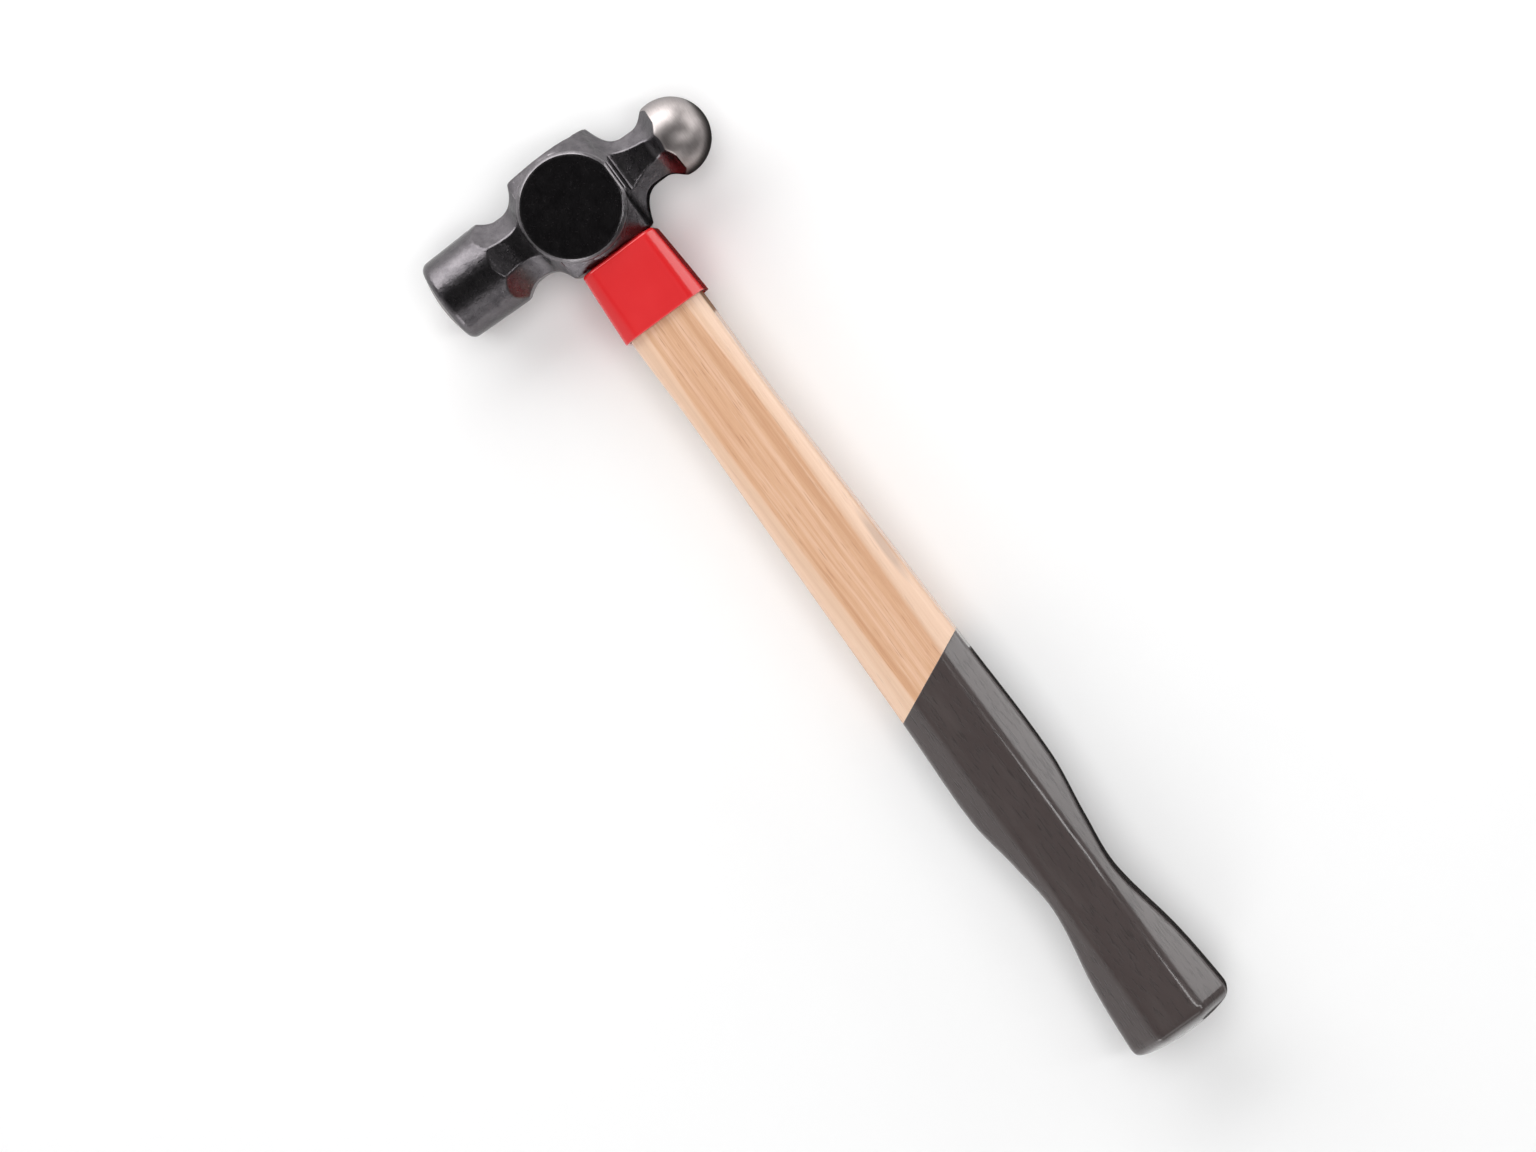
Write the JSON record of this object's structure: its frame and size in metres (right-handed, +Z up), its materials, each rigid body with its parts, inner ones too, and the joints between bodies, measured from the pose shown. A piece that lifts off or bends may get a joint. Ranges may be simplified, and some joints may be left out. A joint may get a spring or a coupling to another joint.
{
  "type": "ball peen hammer",
  "caption": "Small ball peen hammer: round poll, ball peen, octagonal necks, round cheeks, steel handle jacket and a waisted wooden handle with a dipped grip.",
  "frame": {"origin": "centre of the lower cheek face, on the surface that the hammer lies on", "axes": "+X along the handle from the butt to the top of the head, +Y towards the striking face (poll), +Z up out of the upper cheek"},
  "size_m": [0.279, 0.0838, 0.0244],
  "materials": {
    "head_paint": "forged steel with thin black lacquer, striking face and ball ground bright",
    "hickory": "clear-lacquered pale hickory, straight grain",
    "jacket_paint": "glossy red lacquer on pressed sheet steel",
    "plate_steel": "plain pressed steel",
    "wedge_steel": "plain turned steel",
    "grip_lacquer": "satin dark dip lacquer over open-grained wood"
  },
  "bodies": {
    "root": {"head": "head_paint", "handle": "hickory", "handle_jacket": "jacket_paint", "locking_plate": "plate_steel", "ring_wedge": "wedge_steel", "grip_coating": "grip_lacquer"}
  },
  "joints": []
}
